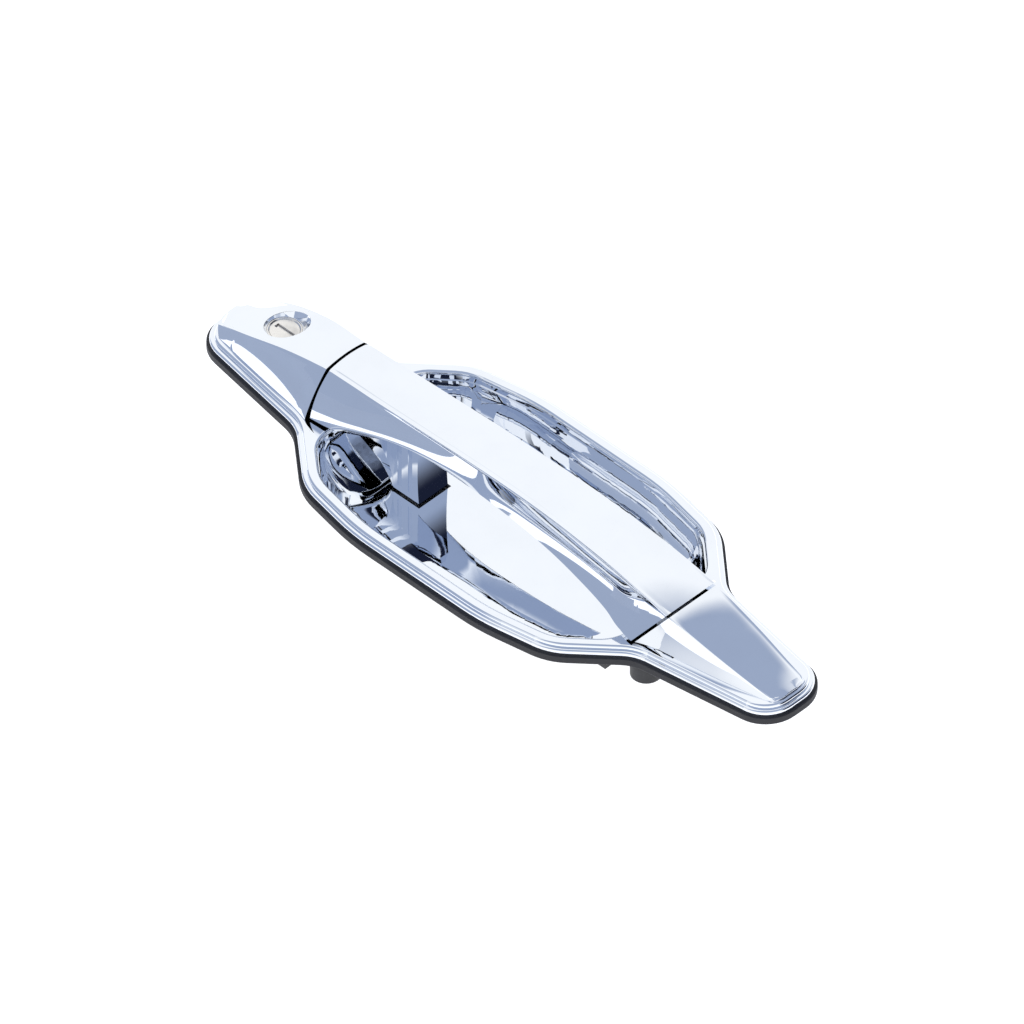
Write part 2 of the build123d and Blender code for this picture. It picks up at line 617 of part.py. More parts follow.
def build_bump_stops():
    pads = []
    for side in (-1, 1):
        pad = cylinder(BUMP_PLACE[0], side * BUMP_PLACE[1], Z_BAND, Z_BAND + BUMP_T, BUMP_R)
        pads.append(one(pad))
    return Compound(children=pads)


# ================================================================ crank
def crank_bar(direction, reach, half_wide, y0, y1):
    """An arm from the crank pivot along a direction in the XZ plane, in degrees above +X."""
    bar = Pos(reach / 2, (y0 + y1) / 2, 0) * Box(reach, y1 - y0, 2 * half_wide)
    tip = Pos(reach, (y0 + y1) / 2, 0) * Rot(90, 0, 0) * Cylinder(half_wide, y1 - y0)
    return Pos(CRANK_X, 0, CRANK_Z) * Rot(0, -direction, 0) * (bar + tip)


def crank_place(direction, reach):
    """Point at a reach from the crank pivot along a direction."""
    a = radians(direction)
    return CRANK_X + reach * cos(a), CRANK_Z + reach * sin(a)


def build_bellcrank():
    body = cross_bar(CRANK_X, CRANK_Z, -HUB_HALF, HUB_HALF - 4.0, HUB_R)
    body = body + crank_bar(FINGER_DIR, CRANK_R, FINGER_R, -TONGUE_HALF, TONGUE_HALF)
    body = body + crank_bar(ROD_DIR, ROD_ARM, 4.0, -1.5, 1.5)
    body = body + crank_bar(WEIGHT_DIR, WEIGHT_ARM, 3.0, -5.0, -2.0)
    x, z = crank_place(WEIGHT_DIR, WEIGHT_ARM)
    body = body + cross_bar(x, z, -5.0, -2.0, WEIGHT_R + 1.2)
    body = body - cross_bar(x, z, -20, 20, WEIGHT_R - 1.5)
    x, z = crank_place(ROD_DIR, ROD_ARM)
    body = body - cross_bar(x, z, -20, 20, ROD_HOLE_R + 1.0)
    body = body - cross_bar(CRANK_X, CRANK_Z, -20, 20, CRANK_PIN_R + FIT)
    return one(body)


def build_counterweight():
    x, z = crank_place(WEIGHT_DIR, WEIGHT_ARM)
    slug = cross_bar(x, z, -2.0, 5.0, WEIGHT_R) + cross_bar(x, z, -5.6, -2.0, WEIGHT_R - 1.5)
    return one(slug)


def build_rod_clip():
    """Plastic clip that takes the bent end of the latch rod."""
    x, z = crank_place(ROD_DIR, ROD_ARM)
    body = cross_bar(x, z, 1.5, 6.0, 4.4) + cross_bar(x, z, -3.0, 1.5, ROD_HOLE_R + 1.0)
    body = body + Pos(x, 5.0, z) * Box(13.0, 2.0, 4.0)
    return one(body - cross_bar(x, z, -20, 20, ROD_HOLE_R))


def coil(turns, radius, wire, axis_place):
    """A close coil of touching turns, as one ribbed sleeve."""
    length = turns * 2 * wire
    body = Cylinder(radius + 0.6 * wire, length) - Cylinder(radius - 0.6 * wire, length + 1)
    for i in range(turns):
        z = -length / 2 + (2 * i + 1) * wire
        body = body + Pos(0, 0, z) * Torus(radius, wire * 0.98)
    return one(axis_place * body)


def build_crank_spring():
    place = Pos(CRANK_X, HUB_HALF - 1.6, CRANK_Z) * Rot(90, 0, 0)
    return coil(3, 3.9, WIRE_R, place)


# ================================================================ lock
def build_lock_ring():
    z0 = Z_LOCK - RING_DEPTH
    body = cylinder(LOCK_X, 0, z0, Z_LOCK, FACE_RING_R)
    body = body - cylinder(LOCK_X, 0, z0 - 1, Z_LOCK + 1, PLUG_R + FIT)
    return one(chamfer(body.faces().sort_by(Axis.Z)[-1].edges(), 0.4))


def build_lock_seal():
    z1 = Z_LOCK - RING_DEPTH
    ring = cylinder(LOCK_X, 0, z1 - SEAL_T, z1, HOUSING_R)
    return one(ring - cylinder(LOCK_X, 0, 0, z1 + 1, PLUG_R + SLACK))


def build_lock_housing():
    z1 = Z_LOCK - RING_DEPTH - SEAL_T
    body = cylinder(LOCK_X, 0, LOCK_BACK, z1, HOUSING_R)
    pad_z = PAD_TOP - CHASSIS_T
    groove = cylinder(LOCK_X, 0, pad_z - RETAINER_T, pad_z, 2 * HOUSING_R)
    groove = groove - cylinder(LOCK_X, 0, -60, 60, HOUSING_R - NECK_DEPTH)
    collar = cylinder(LOCK_X, 0, LOCK_BACK, LOCK_BACK + COLLAR_T, HOUSING_R + COLLAR_T)
    return one(body - groove + collar - cylinder(LOCK_X, 0, -60, 60, PLUG_R + FIT))


def build_lock_retainer():
    """U-shaped spring plate in the housing's groove, under the chassis pad."""
    z1 = PAD_TOP - CHASSIS_T
    z0 = z1 - RETAINER_T
    neck = HOUSING_R - NECK_DEPTH
    long_half, wide_half = RETAINER_HALF
    plate = block(LOCK_X - long_half, LOCK_X + long_half, -wide_half, wide_half, z0, z1)
    plate = plate - cylinder(LOCK_X, 0, z0 - 1, z1 + 1, neck)
    return one(plate - block(LOCK_X, LOCK_X + 20, -neck, neck, z0 - 1, z1 + 1))


def wafer_heights():
    first = Z_LOCK - 9.0
    return [first - i * WAFER_PITCH for i in range(WAFER_COUNT)]


def build_lock_plug():
    face = Z_LOCK - FACE_SET
    body = cylinder(LOCK_X, 0, LOCK_BACK - TAIL_GAP, face, PLUG_R)
    tail = block(-TAIL_SQUARE / 2, TAIL_SQUARE / 2, -TAIL_SQUARE / 2, TAIL_SQUARE / 2, TAIL_END, LOCK_BACK)
    body = body + Pos(LOCK_X, 0, 0) * tail
    length, width = KEY_SLOT
    x0, x1 = LOCK_X - length / 2, LOCK_X + length / 2
    body = body - block(x0, x1, -width / 2, width / 2, Z_LOCK - KEY_DEPTH, Z_LOCK)
    for z in wafer_heights():
        body = body - (Pos(LOCK_X, 0, z) * Box(WAFER_SIZE[0], WAFER_SIZE[1], WAFER_T))
    return one(body)


def build_wafers():
    length, width = KEY_SLOT
    plates = []
    for z in wafer_heights():
        plate = Pos(LOCK_X, 0, z) * (Box(WAFER_SIZE[0], WAFER_SIZE[1], WAFER_T) - Box(length - 1, width, 5))
        plates.append(one(plate))
    return Compound(children=plates)


def build_shutter():
    """Flap that closes the key slot, turning about its long edge."""
    length, width = KEY_SLOT
    half = length / 2 - 0.15
    flap = block(-half, half, -width / 2 + 0.1, SHUTTER_Y, -FLAP_T / 2, FLAP_T / 2)
    roll = Rot(0, 90, 0) * Cylinder(FLAP_T / 2, 2 * half)
    return one(Pos(LOCK_X, 0, SHUTTER_Z) * (flap + Pos(0, SHUTTER_Y, 0) * roll))


def build_tail_lever():
    z1 = LOCK_BACK - TAIL_GAP
    plate = block(0, LEVER_REACH, -4.0, 4.0, z1 - LEVER_T, z1) + cylinder(0, 0, z1 - LEVER_T, z1, 6.0)
    plate = plate + cylinder(LEVER_REACH, 0, z1 - LEVER_T, z1, 4.0)
    hole = TAIL_SQUARE / 2
    plate = plate - block(-hole, hole, -hole, hole, z1 - 9, z1 + 9)
    plate = plate - cylinder(LEVER_REACH, 0, z1 - 9, z1 + 9, ROD_HOLE_R)
    return one(Pos(LOCK_X, 0, 0) * Rot(0, 0, LEVER_ANGLE) * plate)


def build_tail_clip():
    z1 = LOCK_BACK - TAIL_GAP - LEVER_T
    hole = TAIL_SQUARE / 2
    plate = cylinder(0, 0, z1 - CLIP_T, z1, 5.4) - block(-hole, hole, -hole, hole, z1 - 9, z1 + 9)
    return one(Pos(LOCK_X, 0, 0) * plate)


def build_lock_spring():
    return coil(4, HOUSING_R + 0.9, WIRE_R, Pos(LOCK_X, 0, LOCK_BACK + COLLAR_T + 2.6))


# ================================================================ worked-out places
BACK_END_X = ARM_SCREWS[0][0] - ARM_PLATE_L / 2 - 0.5
MOUTH_X = ARM_SCREWS[0][0] + 4.0
LEG_BAR_Z = (ZC + 16.3, ZC + 18.3)
LEG_BAR_X0 = LEG_SCREWS[0][0] - 6.0
ARM_BAR_TOP = ZC + 12.4
CHASSIS_X0 = OPEN_X0 - 11.0
CHASSIS_X1 = OPEN_X1 + 13.0
CHASSIS_HALF = 14.0
FLOOR_X1 = OPEN_X1 - 13.0
CRANK_EAR_IN = HUB_HALF + EAR_GAP
TAIL_END = LOCK_BACK - TAIL_GAP - LEVER_T - CLIP_T - 0.8
SHUTTER_Y = KEY_SLOT[1] / 2 - FLAP_T / 2 - 0.05
SHUTTER_Z = Z_LOCK - FACE_SET - 1.0

# the finger sits half way across the leg
leg_mid_r = HINGE_X - (LEG_X0 + LEG_X1) / 2
finger_drop = HINGE_Z - FINGER_Z
FINGER_X = HINGE_X - (leg_mid_r ** 2 - finger_drop ** 2) ** 0.5
finger_r = hypot(HINGE_X - FINGER_X, finger_drop)
# half way through the pull the crank arm points straight at the grip hinge
rest_dir = degrees(atan2(finger_drop, HINGE_X - FINGER_X))
mid_dir = rest_dir - PULL_ANGLE / 2
mid_x = HINGE_X - finger_r * cos(radians(mid_dir))
mid_z = HINGE_Z - finger_r * sin(radians(mid_dir))
CRANK_X = mid_x + CRANK_R * cos(radians(mid_dir))
CRANK_Z = mid_z + CRANK_R * sin(radians(mid_dir))
CRANK_SWING = 2 * degrees(asin(finger_r * sin(radians(PULL_ANGLE / 2)) / CRANK_R))
# directions at rest, in degrees above +X
FINGER_DIR = 180.0 + mid_dir + CRANK_SWING / 2
ROD_DIR = -45.0 + CRANK_SWING / 2
WEIGHT_DIR = -92.0 + CRANK_SWING / 2


def build_all():
    """Every piece of the handle by name."""
    hinge_pin, hinge_clip = pin_and_clip(HINGE_X, HINGE_Z, KNUCKLE_HALF + EAR_GAP + EAR_T)
    crank_pin, crank_clip = pin_and_clip(CRANK_X, CRANK_Z, CRANK_EAR_IN + EAR_T)
    return {
        "bezel": build_bezel(),
        "bowl_cup": build_bowl(),
        "perimeter_gasket": build_gasket(),
        "rear_chassis": build_chassis(),
        "chassis_screws": build_chassis_screws(),
        "bowl_screws": build_bowl_screws(),
        "threaded_inserts": build_inserts(),
        "bump_stops": build_bump_stops(),
        "hinge_pin": hinge_pin,
        "hinge_pin_clip": hinge_clip,
        "grip_shell": build_grip_shell(),
        "grip_back": build_grip_back(),
        "leg_arm": build_leg_arm(),
        "hinge_arm": build_hinge_arm(),
        "hinge_bushes": build_hinge_bushes(),
        "grip_screws": build_grip_screws(),
        "bellcrank": build_bellcrank(),
        "counterweight": build_counterweight(),
        "rod_clip": build_rod_clip(),
        "crank_pin": crank_pin,
        "crank_pin_clip": crank_clip,
        "crank_spring": build_crank_spring(),
        "lock_face_cap": build_lock_ring(),
        "lock_seal": build_lock_seal(),
        "lock_housing": build_lock_housing(),
        "lock_retainer": build_lock_retainer(),
        "lock_spring": build_lock_spring(),
        "lock_plug": build_lock_plug(),
        "lock_wafers": build_wafers(),
        "key_shutter": build_shutter(),
        "tail_lever": build_tail_lever(),
        "tail_clip": build_tail_clip(),
    }


os.makedirs("parts", exist_ok=True)
for name, shape in build_all().items():
    export_step(shape, f"parts/{name}.step")
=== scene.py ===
"""Finishes, chrome skins, coil springs and studio for the chromed car door handle."""
from math import cos, pi, radians, sin

import bmesh
import bpy
from mathutils import Matrix, Vector


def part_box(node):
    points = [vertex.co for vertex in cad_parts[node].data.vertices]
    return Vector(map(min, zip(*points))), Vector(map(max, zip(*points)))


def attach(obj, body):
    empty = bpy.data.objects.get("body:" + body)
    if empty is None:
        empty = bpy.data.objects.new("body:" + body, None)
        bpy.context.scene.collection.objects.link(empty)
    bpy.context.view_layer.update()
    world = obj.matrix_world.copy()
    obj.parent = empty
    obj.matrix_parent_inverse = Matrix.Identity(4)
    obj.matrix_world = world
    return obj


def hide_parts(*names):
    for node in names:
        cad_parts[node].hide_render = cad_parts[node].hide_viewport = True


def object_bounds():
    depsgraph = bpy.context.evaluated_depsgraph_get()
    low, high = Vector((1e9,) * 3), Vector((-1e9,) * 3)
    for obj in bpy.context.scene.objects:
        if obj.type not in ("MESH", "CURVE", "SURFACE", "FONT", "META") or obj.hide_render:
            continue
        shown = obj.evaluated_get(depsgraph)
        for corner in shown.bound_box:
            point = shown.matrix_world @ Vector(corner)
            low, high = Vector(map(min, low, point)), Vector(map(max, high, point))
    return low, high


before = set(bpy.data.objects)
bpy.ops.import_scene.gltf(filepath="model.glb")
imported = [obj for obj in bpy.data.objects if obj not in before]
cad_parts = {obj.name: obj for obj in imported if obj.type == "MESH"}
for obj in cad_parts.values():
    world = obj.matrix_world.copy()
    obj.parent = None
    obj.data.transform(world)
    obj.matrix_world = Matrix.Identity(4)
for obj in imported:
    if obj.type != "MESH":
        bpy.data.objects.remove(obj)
cad_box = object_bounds()

bl_info = {
    "name": "Car Door Handle",
    "version": (1, 0, 0),
    "blender": (4, 5, 0),
    "location": "3D View > Sidebar > Handle",
    "description": "Chrome, rubber and cast finishes, coil springs and a soft studio for a car door handle",
    "category": "Object",
}

MM = 0.001
STEPS_PER_TURN = 28
CHROME_NODES = ("bezel", "bowl_cup", "grip_shell", "grip_back", "leg_arm")
RUBBER_NODES = ("perimeter_gasket", "bump_stops", "lock_seal")
CAST_NODES = ("hinge_arm", "lock_housing", "bellcrank")
STEEL_NODES = (
    "chassis_screws", "bowl_screws", "grip_screws", "hinge_pin", "hinge_pin_clip", "crank_pin",
    "crank_pin_clip", "lock_retainer", "tail_clip", "tail_lever", "counterweight",
)
POLISHED_NODES = ("lock_face_cap", "key_shutter")
BRASS_NODES = ("lock_wafers", "threaded_inserts")
ACETAL_NODES = ("hinge_bushes", "rod_clip")


# ---------------------------------------------------------------- shader writing
class Value:
    """A socket in a shader, on which plain arithmetic adds Math nodes."""

    def __init__(self, net, socket):
        self.net = net
        self.socket = socket

    def __add__(self, other):
        return self.net.maths("ADD", self, other)

    def __radd__(self, other):
        return self.net.maths("ADD", other, self)

    def __mul__(self, other):
        return self.net.maths("MULTIPLY", self, other)

    def __rmul__(self, other):
        return self.net.maths("MULTIPLY", other, self)


class Net:
    """The node tree of one material or of the world."""

    def __init__(self, owner):
        owner.use_nodes = True
        self.tree = owner.node_tree
        self.tree.nodes.clear()

    def node(self, kind, settings=None, **inputs):
        """Any node: its settings are set first, then the values or links of its sockets."""
        made = self.tree.nodes.new("ShaderNode" + kind)
        for name, value in (settings or {}).items():
            setattr(made, name, value)
        for name, value in inputs.items():
            key = int(name[1:]) if name[0] == "i" and name[1:].isdigit() else name.replace("_", " ")
            self.feed(made.inputs[key], value)
        return made

    def feed(self, socket, value):
        if isinstance(value, Value):
            self.tree.links.new(value.socket, socket)
        else:
            socket.default_value = value

    def out(self, node, name=0):
        return Value(self, node.outputs[name])

    def maths(self, operation, a, b=0.0):
        return self.out(self.node("Math", {"operation": operation}, i0=a, i1=b))

    def spread(self, value, low, high, to_low=0.0, to_high=1.0):
        """The value's range low..high eased onto to_low..to_high."""
        settings = {"interpolation_type": "SMOOTHSTEP"}
        made = self.node("MapRange", settings, i0=value, i1=low, i2=high, i3=to_low, i4=to_high)
        return self.out(made)

    def mix(self, factor, a, b):
        """Colour a turning into colour b."""
        made = self.node("Mix", {"data_type": "RGBA"}, i0=factor, i6=a, i7=b)
        return self.out(made, 2)

    def noise(self, place, scale, detail=2.0, roughness=0.5):
        made = self.node("TexNoise", None, Vector=place, Scale=scale, Detail=detail, Roughness=roughness)
        return self.out(made, 0)

    def place(self, stretch=(1.0, 1.0, 1.0)):
        """Object coordinates, stretched."""
        coords = self.node("TexCoord")
        mapped = self.node("Mapping", None, Vector=self.out(coords, "Object"), Scale=stretch)
        return self.out(mapped)

    def bump(self, height, distance, strength=1.0):
        made = self.node("Bump", None, Height=height, Distance=distance, Strength=strength)
        return self.out(made)

    def finish(self, **inputs):
        shader = self.node("BsdfPrincipled", None, **inputs)
        self.node("OutputMaterial", None, Surface=self.out(shader))


def rgba(colour):
    return (colour[0], colour[1], colour[2], 1.0)


def new_material(name):
    old = bpy.data.materials.get(name)
    if old:
        bpy.data.materials.remove(old)
    return bpy.data.materials.new(name)


# ---------------------------------------------------------------- materials
def chrome_material(look):
    """Bright chrome plating: faint orange peel, handling haze and a few fine scratches."""
    made = new_material("chrome_plating")
    net = Net(made)
    place = net.place()
    haze = net.noise(place, 38.0, 4.0, 0.6)
    peel = net.noise(place, 190.0, 1.0, 0.4)
    hair = net.noise(net.place((40.0, 900.0, 300.0)), 1.0, 3.0, 0.7)
    scratch = net.spread(hair, 0.66, 0.74)
    tint = net.mix(net.spread(haze, 0.35, 0.75), rgba(look.chrome), rgba([0.97 * c for c in look.chrome]))
    net.finish(
        Base_Color=tint,
        Metallic=1.0,
        Roughness=net.spread(haze, 0.4, 0.8, 0.02, 0.05) + scratch * 0.03,
        Normal=net.bump(peel, 0.00002, 0.25),
    )
    return made


def rubber_material(look):
    """Moulded black rubber, dusty on its high spots."""
    made = new_material("black_rubber")
    net = Net(made)
    place = net.place()
    grain = net.noise(place, 900.0, 3.0, 0.6)
    dust = net.noise(place, 60.0, 5.0, 0.65)
    dark = rgba(look.rubber)
    pale = rgba([c * 2.0 + 0.012 for c in look.rubber])
    net.finish(
        Base_Color=net.mix(net.spread(dust, 0.45, 0.75), dark, pale),
        Roughness=net.spread(dust, 0.3, 0.8, 0.48, 0.72),
        Specular_IOR_Level=0.45,
        Normal=net.bump(grain, 0.00006, 0.5),
    )
    return made


def nylon_material(look):
    """Glass-filled black nylon with a spark-eroded grain."""
    made = new_material("black_nylon")
    net = Net(made)
    place = net.place()
    cells = net.out(net.node("TexVoronoi", None, Vector=place, Scale=1400.0), "Distance")
    flow = net.noise(net.place((20.0, 140.0, 140.0)), 1.0, 4.0, 0.6)
    dark = rgba(look.nylon)
    pale = rgba([c * 1.8 + 0.01 for c in look.nylon])
    net.finish(
        Base_Color=net.mix(net.spread(flow, 0.4, 0.7), dark, pale),
        Roughness=net.spread(flow, 0.3, 0.7, 0.42, 0.6),
        Normal=net.bump(cells, 0.00005, 0.5),
    )
    return made


def cast_material(name, colour, shine):
    """Die-cast zinc: flow marks, small pits and a soft sheen."""
    made = new_material(name)
    net = Net(made)
    place = net.place()
    flow = net.noise(net.place((30.0, 120.0, 60.0)), 1.0, 5.0, 0.6)
    pits = net.out(net.node("TexVoronoi", None, Vector=place, Scale=700.0), "Distance")
    pale = rgba([min(1.0, c * 1.15) for c in colour])
    dull = rgba([c * 0.72 for c in colour])
    net.finish(
        Base_Color=net.mix(net.spread(flow, 0.35, 0.7), dull, pale),
        Metallic=1.0,
        Roughness=net.spread(flow, 0.3, 0.75, shine, shine + 0.18),
        Normal=net.bump(net.spread(pits, 0.0, 0.25) + flow * 0.4, 0.00005, 0.5),
    )
    return made


def turned_material(name, colour, shine):
    """Turned or plated metal with fine machining lines and light tarnish."""
    made = new_material(name)
    net = Net(made)
    lines = net.noise(net.place((60.0, 60.0, 900.0)), 1.0, 3.0, 0.6)
    tarnish = net.noise(net.place(), 120.0, 4.0, 0.6)
    pale = rgba([min(1.0, c * 1.08) for c in colour])
    dull = rgba([c * 0.8 for c in colour])
    net.finish(
        Base_Color=net.mix(net.spread(tarnish, 0.45, 0.8), pale, dull),
        Metallic=1.0,
        Roughness=shine + net.spread(tarnish, 0.3, 0.8, 0.0, 0.14) + lines * 0.05,
        Normal=net.bump(lines, 0.00001, 0.6),
    )
    return made


def acetal_material():
    """Natural acetal, slightly waxy."""
    made = new_material("natural_acetal")
    net = Net(made)
    cloud = net.noise(net.place(), 90.0, 3.0, 0.5)
    net.finish(
        Base_Color=net.mix(net.spread(cloud, 0.35, 0.7), (0.74, 0.73, 0.66, 1.0), (0.84, 0.83, 0.78, 1.0)),
        Roughness=net.spread(cloud, 0.3, 0.7, 0.3, 0.42),
        Subsurface_Weight=0.1,
        Subsurface_Radius=(0.001, 0.001, 0.0008),
        Normal=net.bump(cloud, 0.00002, 0.4),
    )
    return made


def dress(nodes, material):
    """Give CAD nodes one material."""
    for name in nodes:
        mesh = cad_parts[name].data
        mesh.materials.clear()
        mesh.materials.append(material)


# ---------------------------------------------------------------- settings
class HandleFinish(bpy.types.PropertyGroup):
    chrome: bpy.props.FloatVectorProperty(
        name="Chrome", description="Tint of the chrome plating", subtype="COLOR", default=(0.88, 0.905, 0.95)
    )
    rubber: bpy.props.FloatVectorProperty(
        name="Rubber", description="Colour of the gasket", subtype="COLOR", default=(0.012, 0.012, 0.016)
    )
    nylon: bpy.props.FloatVectorProperty(
        name="Nylon", description="Colour of the carrier", subtype="COLOR", default=(0.016, 0.016, 0.018)
    )
    zinc: bpy.props.FloatVectorProperty(
        name="Zinc", description="Colour of the die castings", subtype="COLOR", default=(0.5, 0.51, 0.53)
    )
    steel: bpy.props.FloatVectorProperty(
        name="Steel", description="Colour of plated steel", subtype="COLOR", default=(0.6, 0.61, 0.62)
    )
    lock: bpy.props.FloatVectorProperty(
        name="Lock", description="Colour of the lock face", subtype="COLOR", default=(0.8, 0.77, 0.73)
    )
    brass: bpy.props.FloatVectorProperty(
        name="Brass", description="Colour of wafers and inserts", subtype="COLOR", default=(0.78, 0.58, 0.27)
    )


class HandleSprings(bpy.types.PropertyGroup):
    wire: bpy.props.FloatProperty(
        name="Wire", description="Radius of the spring wire", unit="LENGTH", default=0.55 * MM
    )
    turns: bpy.props.IntProperty(name="Turns", description="Turns of each coil", default=3, min=1, max=12)


class HandleStudio(bpy.types.PropertyGroup):
    azimuth: bpy.props.FloatProperty(
        name="Azimuth", description="Camera turned round the handle", subtype="ANGLE", default=radians(44.5)
    )
    elevation: bpy.props.FloatProperty(
        name="Elevation", description="Camera above the plate", subtype="ANGLE", default=radians(43.4)
    )
    field: bpy.props.FloatProperty(
        name="Field", description="Width seen at the handle", unit="LENGTH", default=0.3469
    )
    floor: bpy.props.FloatVectorProperty(
        name="Floor", description="Colour of the floor", subtype="COLOR", default=(0.6, 0.6, 0.61)
    )
    sky: bpy.props.FloatVectorProperty(
        name="Sky", description="White of the light tent", subtype="COLOR", default=(1.03, 1.05, 1.07)
    )
    dusk: bpy.props.FloatVectorProperty(
        name="Overhead", description="Blue-grey of the open top of the tent", subtype="COLOR",
        default=(0.36, 0.43, 0.58)
    )
    flag: bpy.props.FloatVectorProperty(
        name="Flag", description="Dark of the flags beside the tent", subtype="COLOR",
        default=(0.012, 0.016, 0.035)
    )


# ---------------------------------------------------------------- pieces
class HANDLE_OT_chrome(bpy.types.Operator):
    """Plate the bezel, bowl, grip and leg with chrome"""
    bl_idname = "handle.chrome"
    bl_label = "Chrome Mouldings"

    def execute(self, context):
        dress(CHROME_NODES, chrome_material(context.scene.handle_finish))
        return {"FINISHED"}


class HANDLE_OT_rubber(bpy.types.Operator):
    """Finish the gasket, the bump stops and the lock seal"""
    bl_idname = "handle.rubber"
    bl_label = "Rubber Parts"

    def execute(self, context):
        dress(RUBBER_NODES, rubber_material(context.scene.handle_finish))
        return {"FINISHED"}


class HANDLE_OT_lock(bpy.types.Operator):
    """Finish the lock face, the plug, its wafers and its shutter"""
    bl_idname = "handle.lock"
    bl_label = "Key Lock"

    def execute(self, context):
        look = context.scene.handle_finish
        dress(POLISHED_NODES, turned_material("polished_stainless", look.lock, 0.16))
        dress(("lock_plug",), turned_material("nickel_plug", look.lock, 0.22))
        dress(BRASS_NODES, turned_material("turned_brass", look.brass, 0.24))
        return {"FINISHED"}


class HANDLE_OT_mechanism(bpy.types.Operator):
    """Finish the carrier, the castings, the plastic bushes and the steel parts"""
    bl_idname = "handle.mechanism"
    bl_label = "Carrier and Mechanism"

    def execute(self, context):
        look = context.scene.handle_finish
        dress(("rear_chassis",), nylon_material(look))
        dress(CAST_NODES, cast_material("die_cast_zinc", look.zinc, 0.3))
        dress(STEEL_NODES, turned_material("plated_steel", look.steel, 0.26))
        dress(ACETAL_NODES, acetal_material())
        return {"FINISHED"}


def wire_coil(name, centre, axis, radius, wire, turns, length):
    """A round-wire coil along axis, made by spinning a wire section with a rise."""
    steps = STEPS_PER_TURN * turns
    shape = bmesh.new()
    ring = bmesh.ops.create_circle(shape, cap_ends=True, radius=wire, segments=10)
    bmesh.ops.rotate(shape, verts=ring["verts"], matrix=Matrix.Rotation(pi / 2, 3, "X"))
    bmesh.ops.translate(shape, verts=ring["verts"], vec=(radius, 0.0, -length / 2 + wire))
    rise = (length - 2 * wire) / steps
    bmesh.ops.spin(
        shape, geom=shape.faces[:] + shape.edges[:] + shape.verts[:], cent=(0, 0, 0), axis=(0, 0, 1),
        dvec=(0, 0, rise), angle=2 * pi * turns, steps=steps, use_merge=False,
    )
    turn = Vector((0, 0, 1)).rotation_difference(Vector(axis)).to_matrix()
    bmesh.ops.rotate(shape, verts=shape.verts, matrix=turn)
    bmesh.ops.translate(shape, verts=shape.verts, vec=centre)
    return finished(name, shape)


def finished(name, shape, smooth=True):
    """A mesh object from a bmesh, with its normals outward."""
    bmesh.ops.remove_doubles(shape, verts=shape.verts, dist=1e-7)
    bmesh.ops.recalc_face_normals(shape, faces=shape.faces)
    mesh = bpy.data.meshes.new(name)
    shape.to_mesh(mesh)
    shape.free()
    for face in mesh.polygons:
        face.use_smooth = smooth
    made = bpy.data.objects.new(name, mesh)
    bpy.context.scene.collection.objects.link(made)
    return made


# ---------------------------------------------------------------- chrome skins
# rows along the handle: x, top, foot, half width at the foot, half width of the top, flank bulge; in
# millimetres, heights above the rubber. The caps' feet follow PLATE_EDGE and not their fourth column.
GRIP_LINE = (
    (-86.0, 21.3, 4.6, 18.8, 8.6, 0.10), (-76.0, 21.6, 4.6, 18.2, 8.7, 0.10),
    (-67.0, 21.9, 5.4, 17.4, 8.8, 0.10), (-57.0, 22.2, 8.4, 15.6, 9.0, 0.08),
    (-46.0, 22.6, 11.8, 13.6, 9.1, 0.05), (-32.0, 23.1, 13.9, 12.3, 9.2, 0.03),
    (-12.0, 23.8, 13.9, 11.7, 9.3, 0.0), (10.0, 24.1, 12.4, 11.6, 9.4, -0.04),
    (30.0, 23.6, 10.0, 12.2, 9.7, -0.08), (48.0, 22.3, 7.0, 13.8, 10.1, -0.12),
    (60.0, 21.0, 5.2, 15.8, 10.4, -0.14), (69.0, 19.6, 4.6, 18.8, 10.6, -0.15),
    (80.0, 17.6, 4.6, 20.4, 10.7, -0.14), (92.0, 15.2, 4.6, 20.8, 10.8, -0.12),
)
KEY_LINE = (
    (-138.5, 4.2, 1.0, 13.7, 7.6, 0.06), (-128.5, 8.6, 1.0, 13.7, 8.6, 0.06),
    (-114.5, 14.6, 1.0, 13.7, 10.6, 0.06), (-96.5, 19.6, 1.0, 13.7, 10.4, 0.06),
    (-78.5, 21.4, 1.0, 13.7, 9.0, 0.06), (-66.5, 21.4, 1.0, 13.7, 8.6, 0.06),
)
HINGE_LINE = (
    (68.6, 18.0, 1.0, 13.7, 10.6, -0.08), (86.6, 16.0, 1.0, 13.7, 10.8, -0.08),
    (106.6, 11.4, 1.0, 13.7, 9.8, -0.08), (124.6, 6.8, 1.0, 13.7, 8.0, -0.08),
    (138.6, 3.8, 1.0, 13.7, 6.4, -0.08),
)
PLATE_EDGE = ((-136.0, 13.8), (-80.5, 22.5), (-58.0, 41.83), (58.0, 41.83), (80.0, 22.5), (136.0, 13.8))
CROWN = 1.0
SKIN = 0.1                     # added to the sections, so that the skins lie over them
RIDGE_SKIN = 0.6 * SKIN        # what the skin adds to the top's half width
RIDGE_V = 0.4                  # where the ridges lie across a section, of 1
RIDGE_ROUND = 0.7
ROW_STEP = 1.6
COLUMNS = 40
CAP_INSET = 3.1                # foot of the caps behind the plate's edge
GRIP_END = 91.5
CAP_END = 133.0
HINGE_START = 70.0
RUBBER_TOP = 3.0
BAND_TOP = 6.6
SHUT_GAP = 0.65
KEY_SHUT = -78.5
LEAN_SHUT = 76.6
LOCK_X = -108.0
LOCK_TOP = 16.6
SCOOP_R = 6.45
SCOOP_FLARE = 3.2 / 6.0
SCOOP_INNER = 11.0             # corners this near the lock may be cut away
SCOOP_REACH = 12.0             # edges this near it are drawn onto the recess
SCOOP_MARGIN = 0.4
SCOOP_STEPS = 12
TIP_ROUND_X = 123.03
TIP_ROUND_Y = 0.83
